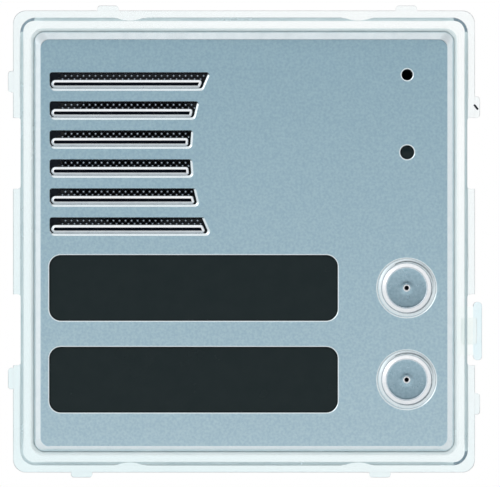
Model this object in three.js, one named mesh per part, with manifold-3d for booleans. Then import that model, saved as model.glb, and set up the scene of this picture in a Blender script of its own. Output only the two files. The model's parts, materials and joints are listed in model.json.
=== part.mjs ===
// A flush-mounted door intercom module: a clear surround with a pressed metal front plate,
// a louvred loudspeaker, two name windows, two call buttons and the electronics behind them.
// Millimetres. X is to the right, Y runs from front to rear and Z is up. The origin is the
// centre of the seating plane, where the rear of the flange meets the wall frame.
import * as THREE from 'three';
import { mergeVertices } from 'three/addons/utils/BufferGeometryUtils.js';
import Module from 'manifold-3d';

const wasm = await Module();
wasm.setup();

// ---- driving dimensions ----
const MODULE = 91;                 // square flange, one grid pitch of the panel system
const GAP = 0.1;                   // clearance between neighbouring pieces
const OVERCUT = 1;                 // how far a cutter runs past the face it opens

// Depths along Y.
const CROWN_Y = -6.5;              // front of the raised rim
const FACE_Y = -6.1;               // front of the metal plate
const PLATE_WALL = 1.5;            // sheet thickness behind the face
const PLATE_RIM_Y = -3.7;          // rear of the plate's turned edge
const LEDGE_Y = -3.1;              // shelf in the surround that the plate sits on
const FLANGE_Y = -2;               // front of the flange
const REBATE_Y = -0.2;             // floor of the step that the housing's front edge sits in
const HOUSING_Y = -0.1;            // front edge of the housing
const WEB_Y = -3.8;                // front of the inner carrier
const WEB_REAR_Y = -2;             // rear of the inner carrier's web
const BOARD_Y = 7.5;               // front of the circuit board
const BOARD_THICKNESS = 1.6;
const BACK_Y = 25.5;               // rear face of the housing
const BACK_WALL = 2;

// Half widths of the square outlines, seen from the front.
const RIM_HALF = 43.8;
const RIM_INNER_HALF = 41.5;
const PLATE_HALF = 41.2;
const PLATE_BEVEL = 1.3;
const POCKET_HALF = 39.7;
const LEDGE_INNER_HALF = 38.4;
const BOARD_HALF = 39;
const HOUSING_HALF = 42;
const HOUSING_WALL = 1.8;
const REBATE_HALF = 42.3;          // step in the rear of the surround that locates the housing

// Louvres.
const LOUVRE_COUNT = 6;
const LOUVRE_PITCH = 5.69;
const LOUVRE_TOP = 33.1;
const LOUVRE_LEFT = -38;
const LOUVRE_OPEN = 1.5;           // height of the part that is open to the loudspeaker
const LOUVRE_LIP = 0.6;            // lip below the opening, set back from the face
const LOUVRE_GROOVE = 0.7;
const LOUVRE_BEVEL = 0.75;
const LOUVRE_SETBACK = 0.6;
const LOUVRE_GROOVE_DEPTH = 1.1;
const ARC_X = 25.1;                // the right ends of the louvres lie on this circle
const ARC_Z = 17.4;
const ARC_RADIUS = 35.7;

// Name windows, call buttons and small holes.
const ROWS = { upper: -9.1, lower: -27.1 };
const WINDOW = { x: -9.9, width: 56.6, height: 12.9, radius: 2.3 };
const INSERT = { width: 54, height: 11.5, radius: 1 };
const BUTTON_X = 31.9;
const BUTTON_RADIUS = 4.9;
const BUTTON_TRAVEL = 0.8;
const CONTACT_SLACK = 0.05;        // left between stem and plunger at the end of the stroke
const RECESS_RADIUS = 5.95;        // rim of the dish around a button
const RECESS_FLOOR_RADIUS = 5.1;
const CUP_FLOOR_Y = 1.9;
const CUP_FLOOR = 1.2;
const STEM_RADIUS = 2;
const SWITCH_Y = 5.4;              // front of a push switch's body
const PLUNGER_GAP = 0.4;           // free play between stem and plunger
const MICROPHONE = { x: 32, z: 32.7, hole: 1.1 };
const SENSOR = { x: 32, z: 17.5, hole: 1.375 };
const SPEAKER = { x: -21.5, z: 17.2, radius: 16.6, rim: 2.2 };

// Rear of the module.
const SCREW_OFFSET = 36.2;         // corner screws, from the centre along X and along Z
const SCREW_SEAT_Y = 15;
const TERMINAL = { x: -10, z: -21.5, width: 20.4, height: 9, rear: 21.7, ways: 4 };
const TERMINAL_MOUTH = { x: -10, z: -24.5, width: 26, height: 17 };
const LINK = { x: 22, z: -24, width: 13, height: 9, rear: 21.5 };
const TRIMMERS = { volume: 30, microphone: 18 };
const TRIMMER_Z = -6;
const TRIMMER_REAR_Y = 13.4;

// Side catch, in the lower right recess of the flange.
const CATCH = { z: -17.65, head: 11.5, neck: 9.5, outer: 46.9, travel: 1.2, tail: 41.4 };
const RECESS = { z: 17.4, height: 14, floor: 43.9 };

const boardRear = BOARD_Y + BOARD_THICKNESS;
const plateBackY = FACE_Y + PLATE_WALL;
const backInnerY = BACK_Y - BACK_WALL;
const plungerTravel = BUTTON_TRAVEL - PLUNGER_GAP + CONTACT_SLACK;

// ---- solids and cuts ----
function toSolid(geometry) {
  const bare = geometry.index ? geometry.clone() : geometry;
  bare.deleteAttribute('normal');
  bare.deleteAttribute('uv');
  const merged = mergeVertices(bare, 1e-4);
  return new wasm.Manifold(new wasm.Mesh({
    numProp: 3,
    vertProperties: new Float32Array(merged.attributes.position.array),
    triVerts: new Uint32Array(merged.index.array),
  }));
}

function toGeometry(solid) {
  const mesh = solid.getMesh();
  const geometry = new THREE.BufferGeometry();
  const positions = new Float32Array(mesh.vertProperties);
  geometry.setAttribute('position', new THREE.BufferAttribute(positions, 3));
  geometry.setIndex(new THREE.BufferAttribute(new Uint32Array(mesh.triVerts), 1));
  geometry.computeVertexNormals();
  return geometry;
}

function join(...solids) {
  return solids.reduce((whole, next) => whole.add(next));
}

function cut(solid, ...cutters) {
  return cutters.reduce((whole, next) => whole.subtract(next), solid);
}

// ---- basic shapes; every prism, rod and turned piece runs along Y ----
function box(width, height, front, rear, x = 0, z = 0) {
  const geometry = new THREE.BoxGeometry(width, rear - front, height);
  geometry.translate(x, (front + rear) / 2, z);
  return toSolid(geometry);
}

function rod(radius, front, rear, x = 0, z = 0, sides = 16) {
  const geometry = new THREE.CylinderGeometry(radius, radius, rear - front, sides);
  geometry.translate(x, (front + rear) / 2, z);
  return toSolid(geometry);
}

function roundedShape(width, height, radius) {
  const w = width / 2;
  const h = height / 2;
  const shape = new THREE.Shape();
  shape.moveTo(w, -h + radius);
  shape.absarc(w - radius, h - radius, radius, 0, Math.PI / 2);
  shape.absarc(-w + radius, h - radius, radius, Math.PI / 2, Math.PI);
  shape.absarc(-w + radius, -h + radius, radius, Math.PI, 1.5 * Math.PI);
  shape.absarc(w - radius, -h + radius, radius, 1.5 * Math.PI, 2 * Math.PI);
  return shape;
}

function extrudeAlongY(shape, front, rear, x, z, options) {
  const bevel = options.bevel ?? 0;
  const depth = rear - front - 2 * bevel;
  const geometry = new THREE.ExtrudeGeometry(shape, {
    depth,
    curveSegments: options.curveSegments ?? 3,
    bevelEnabled: bevel > 0,
    bevelThickness: bevel,
    bevelSize: options.bevelSize ?? bevel,
    bevelOffset: 0,
    bevelSegments: options.bevelSegments ?? 1,
  });
  geometry.rotateX(Math.PI / 2);
  geometry.translate(x, rear - bevel, z);
  return toSolid(geometry);
}

function slab(width, height, radius, front, rear, x = 0, z = 0, options = {}) {
  return extrudeAlongY(roundedShape(width, height, radius), front, rear, x, z, options);
}

function square(half, radius, front, rear, options = {}) {
  return slab(2 * half, 2 * half, radius, front, rear, 0, 0, options);
}

function polygon(points, front, rear) {
  const shape = new THREE.Shape(points.map(([x, z]) => new THREE.Vector2(x, z)));
  return extrudeAlongY(shape, front, rear, 0, 0, {});
}

// A bar along X with the section given as points of Y and Z.
function barAlongX(section, left, right) {
  const shape = new THREE.Shape(section.map(([y, z]) => new THREE.Vector2(y, z)));
  const geometry = new THREE.ExtrudeGeometry(shape, { depth: right - left, bevelEnabled: false });
  geometry.applyMatrix4(new THREE.Matrix4().makeBasis(
    new THREE.Vector3(0, 1, 0),
    new THREE.Vector3(0, 0, 1),
    new THREE.Vector3(1, 0, 0),
  ));
  geometry.translate(left, 0, 0);
  return toSolid(geometry);
}

// A turned piece from points of radius and Y, listed with Y rising along its outer wall.
function turned(profile, x = 0, z = 0, sides = 24) {
  const points = profile.map(([radius, y]) => new THREE.Vector2(radius, y));
  const geometry = new THREE.LatheGeometry(points, sides);
  geometry.translate(x, 0, z);
  return toSolid(geometry);
}

function ring(outer, inner, front, rear, x, z, sides = 20) {
  const profile = [[inner, front], [outer, front], [outer, rear], [inner, rear], [inner, front]];
  return turned(profile, x, z, sides);
}

class Coil extends THREE.Curve {
  constructor(radius, length, turns, alongX) {
    super();
    Object.assign(this, { radius, length, turns, alongX });
  }

  getPoint(t) {
    const angle = 2 * Math.PI * this.turns * t;
    const a = this.radius * Math.cos(angle);
    const b = this.radius * Math.sin(angle);
    const along = this.length * t;
    return this.alongX ? new THREE.Vector3(along, a, b) : new THREE.Vector3(a, along, b);
  }
}

// A round wire bent along a curve.
function wire(curve, radius, steps, sides) {
  const section = new THREE.Shape();
  section.absarc(0, 0, radius, 0, 2 * Math.PI);
  return new THREE.ExtrudeGeometry(section, {
    steps,
    curveSegments: sides,
    extrudePath: curve,
    bevelEnabled: false,
  });
}

function atCorners(offset, make) {
  const signs = [[-1, 1], [1, 1], [-1, -1], [1, -1]];
  return signs.map(([sx, sz], i) => make(sx * offset, sz * offset, i + 1));
}

// ---- materials ----
function material(colour, roughness, metalness, opacity = 1) {
  return new THREE.MeshStandardMaterial({
    color: colour,
    roughness,
    metalness,
    opacity,
    transparent: opacity < 1,
  });
}

const MATERIALS = {
  clear_plastic: () => material(0xe8f6f8, 0.12, 0, 0.45),
  satin_metal: () => material(0x9bb6c0, 0.38, 0.85),
  button_metal: () => material(0xc9d6da, 0.22, 0.95),
  smoked_plastic: () => material(0x1d2528, 0.12, 0),
  card: () => material(0x24282a, 0.85, 0),
  opal_plastic: () => material(0xf1f4f2, 0.4, 0),
  black_mesh: () => material(0x15181c, 0.5, 0.3),
  black_plastic: () => material(0x22262a, 0.55, 0),
  pale_plastic: () => material(0xdfe3e3, 0.55, 0),
  rubber: () => material(0x1a1b1c, 0.85, 0),
  pale_rubber: () => material(0xd6dedd, 0.8, 0),
  board: () => material(0x17603c, 0.45, 0),
  component: () => material(0x1b1c1e, 0.5, 0),
  steel: () => material(0xb9bec2, 0.35, 0.95),
  ferrite: () => material(0x3a3b3d, 0.6, 0.2),
  paper_cone: () => material(0x2b2a2a, 0.8, 0),
  terminal_green: () => material(0x2f8a4a, 0.5, 0),
  trimmer_blue: () => material(0x2b4ea0, 0.5, 0),
  red_wire: () => material(0xa8241f, 0.5, 0),
  led: () => material(0xf2f3e6, 0.3, 0),
};

const group = new THREE.Group();

function addGeometry(name, geometry, finish) {
  const mesh = new THREE.Mesh(geometry, MATERIALS[finish]());
  mesh.name = name;
  group.add(mesh);
  return mesh;
}

function add(name, solid, finish) {
  return addGeometry(name, toGeometry(solid), finish);
}

// ---- clear surround ----
function lug(x, z, upright) {
  const length = 4.2;
  const proud = 1.15;
  const root = 1;
  const width = upright ? 2 * (root + proud) : length;
  const height = upright ? length : 2 * (root + proud);
  const half = MODULE / 2 - root - proud;
  const px = upright ? Math.sign(x) * (half + root) : x;
  const pz = upright ? z : Math.sign(z) * (half + root);
  return slab(width, height, 0.6, FLANGE_Y + 0.2, -0.2, px, pz);
}

function buildSurround() {
  const edge = MODULE / 2;
  const crown = 0.5;
  let body = square(edge, 2.5, FLANGE_Y, 0);
  const rim = square(RIM_HALF - crown, 2.2, CROWN_Y, -0.5, { bevel: crown, bevelSegments: 2 });
  body = join(body, rim);
  body = cut(
    body,
    square(RIM_INNER_HALF, 2.1, CROWN_Y - OVERCUT, LEDGE_Y),
    square(LEDGE_INNER_HALF, 1, LEDGE_Y - OVERCUT, OVERCUT),
    square(REBATE_HALF, 3.2, REBATE_Y, OVERCUT),
  );
  const lugs = [
    lug(-26.8, edge, false),
    lug(32, edge, false),
    lug(-32, -edge, false),
    lug(26.8, -edge, false),
    lug(-edge, 31.5, true),
    lug(-edge, -27, true),
    lug(edge, 26.5, true),
    lug(edge, -32, true),
  ];
  body = join(body, ...lugs);
  for (const side of [-1, 1]) {
    for (const row of [-1, 1]) {
      const width = 2 * (edge - RECESS.floor);
      const x = side * edge;
      const z = row * RECESS.z;
      body = cut(body, slab(width, RECESS.height, 0.8, FLANGE_Y - GAP, OVERCUT, x, z));
    }
  }
  const notchRadius = 6.5;
  const notchDepth = 0.5;
  for (const x of [-22.4, 22.4]) {
    for (const side of [-1, 1]) {
      const z = side * (RIM_HALF + notchRadius - notchDepth);
      body = cut(body, rod(notchRadius, CROWN_Y - OVERCUT, FLANGE_Y - 0.01, x, z, 32));
    }
  }
  const channel = CATCH.neck + 2 * GAP;
  const spring = LEDGE_INNER_HALF + 0.5;
  const neckCut = box(RIM_HALF + 2 - spring, channel, FLANGE_Y + 0.1, OVERCUT,
    (RIM_HALF + 2 + spring) / 2, CATCH.z);
  return cut(body, neckCut);
}

// ---- metal front plate ----
function arcEnd(z) {
  return ARC_X - Math.sqrt(ARC_RADIUS ** 2 - (z - ARC_Z) ** 2);
}

function louvreBand(top, bottom, inset, depth) {
  const left = LOUVRE_LEFT + inset;
  const outline = [
    [left, bottom],
    [arcEnd(bottom) - inset, bottom],
    [arcEnd(top) - inset, top],
    [left, top],
  ];
  return polygon(outline, FACE_Y - OVERCUT, FACE_Y + depth);
}

function louvreCutters(index) {
  const top = LOUVRE_TOP - index * LOUVRE_PITCH;
  const lipTop = top - LOUVRE_OPEN;
  const grooveTop = lipTop - LOUVRE_LIP;
  const grooveBottom = grooveTop - LOUVRE_GROOVE;
  const bottom = grooveBottom - LOUVRE_BEVEL;
  const slope = LOUVRE_BEVEL / LOUVRE_SETBACK;
  const bevelSection = [
    [FACE_Y + LOUVRE_SETBACK, grooveBottom + 0.05],
    [FACE_Y - OVERCUT, grooveBottom + 0.05],
    [FACE_Y - OVERCUT, bottom - OVERCUT * slope],
    [FACE_Y + LOUVRE_SETBACK, grooveBottom],
  ];
  return [
    louvreBand(top, lipTop, 0, PLATE_WALL + OVERCUT),
    louvreBand(top, grooveBottom, 0, LOUVRE_SETBACK),
    louvreBand(grooveTop, grooveBottom, LOUVRE_LIP, LOUVRE_GROOVE_DEPTH),
    barAlongX(bevelSection, LOUVRE_LEFT, arcEnd(bottom)),
  ];
}

function holeCutter(radius, chamfer, x, z) {
  const profile = [
    [0, FACE_Y - OVERCUT],
    [radius + chamfer + OVERCUT, FACE_Y - OVERCUT],
    [radius, FACE_Y + chamfer],
    [radius, FACE_Y + PLATE_WALL + OVERCUT],
    [0, FACE_Y + PLATE_WALL + OVERCUT],
  ];
  return turned(profile, x, z, 16);
}

function dishCutter(z) {
  const depth = 0.7;
  const run = (RECESS_RADIUS - RECESS_FLOOR_RADIUS) / depth;
  const profile = [
    [0, FACE_Y - OVERCUT],
    [RECESS_RADIUS + run * OVERCUT, FACE_Y - OVERCUT],
    [RECESS_FLOOR_RADIUS, FACE_Y + depth],
    [RECESS_FLOOR_RADIUS, FACE_Y + PLATE_WALL + OVERCUT],
    [0, FACE_Y + PLATE_WALL + OVERCUT],
  ];
  return turned(profile, BUTTON_X, z, 32);
}

function buildPlate() {
  const faceHalf = PLATE_HALF - PLATE_BEVEL;
  const blank = square(faceHalf, 1, FACE_Y, PLATE_RIM_Y + PLATE_BEVEL, {
    bevel: 1,
    bevelSize: PLATE_BEVEL,
  });
  const cutters = [
    square(PLATE_HALF + OVERCUT, 2, PLATE_RIM_Y, PLATE_RIM_Y + 3),
    square(POCKET_HALF, 1, plateBackY, PLATE_RIM_Y + OVERCUT),
    holeCutter(MICROPHONE.hole, 0.35, MICROPHONE.x, MICROPHONE.z),
    holeCutter(SENSOR.hole, 0.3, SENSOR.x, SENSOR.z),
  ];
  for (let i = 0; i < LOUVRE_COUNT; i += 1) {
    cutters.push(...louvreCutters(i));
  }
  for (const z of Object.values(ROWS)) {
    cutters.push(dishCutter(z));
    cutters.push(slab(WINDOW.width, WINDOW.height, WINDOW.radius, FACE_Y - OVERCUT,
      PLATE_RIM_Y, WINDOW.x, z));
  }
  return cut(blank, ...cutters);
}

function buildFrontGasket() {
  const front = PLATE_RIM_Y + GAP;
  const rear = LEDGE_Y - GAP;
  return cut(
    square(PLATE_HALF - 0.1, 2, front, rear),
    square(POCKET_HALF + 0.3, 1, front - OVERCUT, rear + OVERCUT),
  );
}

// A thin sheet behind the louvres, with a coarse row of openings behind each of them.
function buildSpeakerMesh() {
  const front = plateBackY + 0.2;
  const rear = front + 0.4;
  const sheet = slab(38, 35.6, 1, front, rear, -20.2, 17.2);
  const holes = [];
  const holeRadius = 0.6;
  const pitch = 4.8;
  for (let i = 0; i < LOUVRE_COUNT; i += 1) {
    const z = LOUVRE_TOP - i * LOUVRE_PITCH - LOUVRE_OPEN / 2;
    for (let x = LOUVRE_LEFT + 1.2; x < arcEnd(z) - 1; x += pitch) {
      holes.push(rod(holeRadius, front - OVERCUT, rear + OVERCUT, x, z, 4));
    }
  }
  return cut(sheet, join(...holes));
}

// ---- name windows ----
function buildNameWindow(z) {
  const side = 2 * GAP;
  const flangeY = plateBackY + 0.2;
  const lens = slab(WINDOW.width - side, WINDOW.height - side, WINDOW.radius - GAP,
    FACE_Y + 0.4, flangeY + 0.2, WINDOW.x, z);
  const flange = slab(58.2, 14.6, 1.5, flangeY, flangeY + 0.5, WINDOW.x, z);
  return join(lens, flange);
}

function buildNameInsert(z) {
  return slab(INSERT.width - 0.2, INSERT.height - 0.2, INSERT.radius, WEB_Y, WEB_Y + 0.4,
    WINDOW.x, z, { curveSegments: 3 });
}

function buildLightGuide(z) {
  return slab(INSERT.width - 0.4, INSERT.height - 0.4, INSERT.radius, WEB_Y + 0.5,
    WEB_Y + 2.5, WINDOW.x, z, { curveSegments: 3 });
}

// ---- inner carrier ----
function cupSolid(z) {
  return rod(6.2, WEB_REAR_Y - 0.5, CUP_FLOOR_Y + CUP_FLOOR, BUTTON_X, z, 24);
}

function cupCutters(z) {
  return [
    rod(5.8, WEB_Y - OVERCUT, CUP_FLOOR_Y, BUTTON_X, z, 24),
    rod(STEM_RADIUS + 0.15, CUP_FLOOR_Y - OVERCUT, CUP_FLOOR_Y + CUP_FLOOR + OVERCUT, BUTTON_X, z),
  ];
}

function buildCarrier() {
  const boxRear = BOARD_Y - 0.5;
  const parts = [
    square(POCKET_HALF - 0.3, 1, WEB_Y, LEDGE_Y - GAP),
    square(LEDGE_INNER_HALF - 0.3, 1, LEDGE_Y - 0.2, WEB_REAR_Y),
  ];
  const cutters = [
    rod(SPEAKER.radius - SPEAKER.rim, WEB_Y - OVERCUT, OVERCUT, SPEAKER.x, SPEAKER.z, 28),
    rod(3.4, WEB_Y - OVERCUT, OVERCUT, MICROPHONE.x, MICROPHONE.z),
    rod(1.55, WEB_Y - OVERCUT, OVERCUT, SENSOR.x, SENSOR.z),
  ];
  for (const z of Object.values(ROWS)) {
    parts.push(slab(INSERT.width + 2, INSERT.height + 2, 1.5, WEB_REAR_Y - 0.5, boxRear,
      WINDOW.x, z, { curveSegments: 2 }));
    parts.push(cupSolid(z));
    cutters.push(slab(INSERT.width, INSERT.height, INSERT.radius, WEB_Y - OVERCUT,
      boxRear + OVERCUT, WINDOW.x, z, { curveSegments: 3 }));
    cutters.push(...cupCutters(z));
  }
  atCorners(SCREW_OFFSET, (x, z) => {
    parts.push(rod(1.9, WEB_REAR_Y - 0.5, BOARD_Y - GAP, x, z, 16));
    cutters.push(rod(1.15, 0.5, BOARD_Y + OVERCUT, x, z, 8));
  });
  return cut(join(...parts), ...cutters);
}

// ---- loudspeaker ----
function buildSpeaker() {
  const { x, z, radius, rim } = SPEAKER;
  const seat = WEB_REAR_Y + GAP;
  const mouth = radius - rim;
  add('speaker_gasket', ring(radius, mouth, seat, seat + 0.8, x, z), 'rubber');
  const rimY = seat + 0.9;
  const floorY = rimY + 4.6;
  const basket = turned([
    [mouth, rimY],
    [radius, rimY],
    [radius, rimY + 0.8],
    [mouth + 0.9, rimY + 0.9],
    [9.4, floorY],
    [5.6, floorY],
    [5.6, floorY - 0.6],
    [9.1, floorY - 0.6],
    [mouth, rimY + 0.7],
    [mouth, rimY],
  ], x, z, 24);
  add('speaker_basket', basket, 'steel');
  const cone = turned([
    [4.9, rimY + 3],
    [mouth - 2.3, rimY + 0.5],
    [mouth - 1.3, rimY - 0.2],
    [mouth - 0.2, rimY + 0.2],
    [mouth - 0.2, rimY + 0.45],
    [mouth - 1.3, rimY + 0.1],
    [mouth - 2.2, rimY + 0.8],
    [5, rimY + 3.3],
    [4.9, rimY + 3],
  ], x, z, 24);
  add('speaker_cone', cone, 'paper_cone');
  const capFront = rimY + 1.3;
  const cap = turned([
    [0, capFront],
    [2.4, capFront + 0.35],
    [4.2, capFront + 1.25],
    [4.7, capFront + 2],
    [4.4, capFront + 2],
    [2.3, capFront + 0.7],
    [0, capFront + 0.35],
  ], x, z, 16);
  add('speaker_dust_cap', cap, 'paper_cone');
  add('speaker_magnet', rod(8, floorY + GAP, floorY + 1.9, x, z, 24), 'ferrite');
  const yoke = join(
    rod(9, floorY + 2, floorY + 3, x, z, 24),
    rod(6, floorY + 2.5, floorY + 3.2, x, z, 16),
  );
  add('speaker_yoke', yoke, 'steel');
  for (const [name, side, finish] of [['left', -1, 'component'], ['right', 1, 'red_wire']]) {
    const curve = new THREE.CatmullRomCurve3([
      new THREE.Vector3(x + side * 4, rimY + 1.1, z - mouth - 1),
      new THREE.Vector3(x + side * 4.3, rimY + 3.5, z - mouth - 0.6),
      new THREE.Vector3(x + side * 3.7, BOARD_Y - 2, z - mouth - 0.4),
      new THREE.Vector3(x + side * 4, BOARD_Y - GAP, z - mouth - 0.8),
    ]);
    addGeometry(`speaker_lead_${name}`, wire(curve, 0.45, 10, 3), finish);
  }
}

// ---- microphone and status lamp ----
function buildMicrophone() {
  const { x, z } = MICROPHONE;
  const front = plateBackY + 0.2;
  const boot = cut(
    rod(3.2, front, 2.4, x, z),
    rod(1, front - OVERCUT, 2, x, z, 16),
    rod(2.2, -0.5, 2.4 + OVERCUT, x, z),
  );
  add('microphone_boot', boot, 'rubber');
  add('microphone_capsule', rod(2.1, -0.4, 2, x, z), 'steel');
}

function buildStatusLamp() {
  const { x, z, hole } = SENSOR;
  const flangeY = plateBackY + GAP;
  const lens = join(
    rod(hole - 0.1, FACE_Y + 0.5, BOARD_Y - 2, x, z),
    rod(2.2, flangeY, WEB_Y - GAP, x, z),
  );
  add('sensor_lens', lens, 'smoked_plastic');
  add('status_led', slab(3, 1.6, 0.2, BOARD_Y - 1.1, BOARD_Y - GAP, x, z, { curveSegments: 1 }), 'led');
}

// ---- call buttons and their switches ----
function buildCallButton(row, z) {
  const capFront = FACE_Y - 0.3;
  const flangeFront = plateBackY + GAP;
  const flangeRear = flangeFront + 0.6;
  const stemEnd = SWITCH_Y - 0.6 - PLUNGER_GAP;
  const profile = [
    [0, capFront + 0.6],
    [0.45, capFront + 0.6],
    [0.5, capFront + 0.15],
    [0.95, capFront],
    [4.1, capFront],
    [4.6, capFront + 0.2],
    [BUTTON_RADIUS, capFront + 0.6],
    [BUTTON_RADIUS, flangeFront],
    [5.5, flangeFront],
    [5.5, flangeRear],
    [STEM_RADIUS, flangeRear],
    [STEM_RADIUS, stemEnd],
    [0, stemEnd],
  ];
  add(`${row}_call_button`, turned(profile, BUTTON_X, z, 28), 'button_metal');
  const clipY = CUP_FLOOR_Y + CUP_FLOOR + GAP;
  add(`${row}_button_clip`, ring(3.4, STEM_RADIUS + 0.05, clipY, clipY + 0.6, BUTTON_X, z, 16), 'steel');
  add(`${row}_button_seal`, ring(6.9, 5.9, plateBackY + GAP, WEB_Y - GAP, BUTTON_X, z), 'rubber');
  const springFront = flangeRear + 0.35;
  const length = CUP_FLOOR_Y - 0.35 - springFront;
  const coil = addGeometry(`${row}_button_spring`,
    wire(new Coil(3.6, length, 4.5, false), 0.25, 54, 2), 'steel');
  coil.position.set(BUTTON_X, springFront, z);
  const plungerFront = stemEnd + PLUNGER_GAP;
  const plungerRear = SWITCH_Y + 0.8;
  add(`${row}_switch_plunger`, rod(1.6, plungerFront, plungerRear, BUTTON_X, z), 'component');
  const body = cut(
    slab(6, 6, 0.4, SWITCH_Y, BOARD_Y - GAP, BUTTON_X, z, { curveSegments: 1 }),
    rod(1.75, SWITCH_Y - OVERCUT, plungerRear + plungerTravel + 0.25, BUTTON_X, z),
  );
  add(`${row}_switch_body`, body, 'black_plastic');
}

function buildNameRow(row, z) {
  add(`${row}_name_window`, buildNameWindow(z), 'smoked_plastic');
  add(`${row}_name_insert`, buildNameInsert(z), 'card');
  add(`${row}_light_guide`, buildLightGuide(z), 'opal_plastic');
  for (const [side, offset] of [['left', -13.5], ['right', 13.5]]) {
    const led = slab(3.4, 2.8, 0.3, BOARD_Y - 0.9, BOARD_Y - GAP, WINDOW.x + offset, z,
      { curveSegments: 1 });
    add(`${row}_${side}_backlight`, led, 'led');
  }
}

// ---- circuit board and what stands on its rear ----
function buildBoard() {
  let board = square(BOARD_HALF, 1.5, BOARD_Y, boardRear);
  atCorners(SCREW_OFFSET, (x, z) => {
    board = cut(board, rod(1.35, BOARD_Y - OVERCUT, boardRear + OVERCUT, x, z, 12));
  });
  return board;
}

function buildTransformer() {
  const front = boardRear + GAP;
  return join(
    slab(15, 12, 0.6, front, front + 2, 20, 14, { curveSegments: 1 }),
    slab(9, 12, 1, front + 1, front + 9, 20, 14, { curveSegments: 2 }),
    slab(15, 9, 0.6, front + 8, front + 10, 20, 14, { curveSegments: 1 }),
    slab(2.4, 9, 0.4, front + 1, front + 9, 13.8, 14, { curveSegments: 1 }),
    slab(2.4, 9, 0.4, front + 1, front + 9, 26.2, 14, { curveSegments: 1 }),
  );
}

function buildAudioChip() {
  const front = boardRear + GAP;
  return slab(10, 7.5, 0.4, front, boardRear + 2.5, -4, 12, { curveSegments: 1 });
}

function buildCapacitor(x, z) {
  const front = boardRear + GAP;
  return turned([
    [0, front],
    [4, front],
    [4, front + 1],
    [3.75, front + 1.5],
    [4, front + 2],
    [4, front + 11],
    [3.7, front + 11.4],
    [0, front + 11.4],
  ], x, z, 20);
}

function buildTrimmer(name, x) {
  const front = boardRear + GAP;
  const seat = TRIMMER_REAR_Y - 1.5;
  const body = cut(
    slab(6.6, 6.6, 0.5, front, TRIMMER_REAR_Y, x, TRIMMER_Z, { curveSegments: 1 }),
    rod(2.5, seat, TRIMMER_REAR_Y + OVERCUT, x, TRIMMER_Z, 20),
  );
  add(`${name}_trimmer_body`, body, 'trimmer_blue');
  const rotor = cut(
    rod(2.35, seat + GAP, TRIMMER_REAR_Y + 0.6, x, TRIMMER_Z, 20),
    box(3.4, 0.7, TRIMMER_REAR_Y, TRIMMER_REAR_Y + OVERCUT, x, TRIMMER_Z),
    box(0.7, 3.4, TRIMMER_REAR_Y, TRIMMER_REAR_Y + OVERCUT, x, TRIMMER_Z),
    box(0.9, 1.2, TRIMMER_REAR_Y + 0.2, TRIMMER_REAR_Y + OVERCUT, x, TRIMMER_Z + 2.2),
  );
  add(`${name}_trimmer_rotor`, rotor, 'opal_plastic');
}

function buildTerminals() {
  const { x, z, width, height, rear, ways } = TERMINAL;
  const pitch = 5.08;
  const front = boardRear + GAP;
  let block = slab(width, height, 0.4, front, rear, x, z, { curveSegments: 1 });
  for (let i = 0; i < ways; i += 1) {
    const wayX = x + (i - (ways - 1) / 2) * pitch;
    const screwZ = z + 1;
    const entryFront = front + 1.5;
    const entry = box(3.4, 5, entryFront, entryFront + 4, wayX, z - height / 2 + 1.5);
    block = cut(block, rod(1.95, rear - 5, rear + OVERCUT, wayX, screwZ, 16), entry);
    const head = cut(
      join(rod(1.8, rear - 3.4, rear - 1.6, wayX, screwZ, 16),
        rod(1.2, rear - 4.9, rear - 3.3, wayX, screwZ, 8)),
      box(4, 0.6, rear - 2.3, rear, wayX, screwZ),
    );
    add(`clamp_screw_${i + 1}`, head, 'steel');
  }
  add('terminal_block', block, 'terminal_green');
}

function buildLinkSocket() {
  const { x, z, width, height, rear } = LINK;
  return cut(
    slab(width, height, 0.5, boardRear + GAP, rear, x, z, { curveSegments: 1 }),
    box(width - 3, height - 3, rear - 7, rear + OVERCUT, x, z),
    box(3.6, 3, rear - 7, rear + OVERCUT, x, z + height / 2 - 1),
  );
}

// ---- rear housing and its screws ----
function buildHousing() {
  const inner = HOUSING_HALF - HOUSING_WALL;
  let body = square(HOUSING_HALF, 3, HOUSING_Y, BACK_Y);
  body = cut(body, square(inner, 1.8, HOUSING_Y - OVERCUT, backInnerY));
  const posts = atCorners(SCREW_OFFSET, (x, z) => rod(3, boardRear + GAP, BACK_Y - 1, x, z, 16));
  body = join(body, ...posts);
  const cutters = [
    slab(TERMINAL_MOUTH.width, TERMINAL_MOUTH.height, 1, backInnerY - OVERCUT, BACK_Y + OVERCUT,
      TERMINAL_MOUTH.x, TERMINAL_MOUTH.z),
    slab(LINK.width + 2, LINK.height + 2, 1, backInnerY - OVERCUT, BACK_Y + OVERCUT, LINK.x, LINK.z),
  ];
  for (const x of Object.values(TRIMMERS)) {
    cutters.push(rod(2.6, backInnerY - OVERCUT, BACK_Y + OVERCUT, x, TRIMMER_Z, 16));
  }
  atCorners(SCREW_OFFSET, (x, z) => {
    cutters.push(rod(2.25, SCREW_SEAT_Y, BACK_Y + OVERCUT, x, z, 16));
    cutters.push(rod(1.3, boardRear - OVERCUT, SCREW_SEAT_Y + OVERCUT, x, z, 12));
  });
  return cut(body, ...cutters);
}

function buildHousingScrew(x, z) {
  const headRear = SCREW_SEAT_Y + GAP + 1.8;
  const shank = rod(1, 1.5, SCREW_SEAT_Y + 0.5, x, z, 8);
  const head = turned([
    [0, SCREW_SEAT_Y + GAP],
    [2, SCREW_SEAT_Y + GAP],
    [2, headRear - 0.5],
    [1.5, headRear],
    [0, headRear],
  ], x, z, 16);
  const cross = [
    box(2.4, 0.55, headRear - 1, headRear + OVERCUT, x, z),
    box(0.55, 2.4, headRear - 1, headRear + OVERCUT, x, z),
  ];
  return cut(join(shank, head), ...cross);
}

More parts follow.
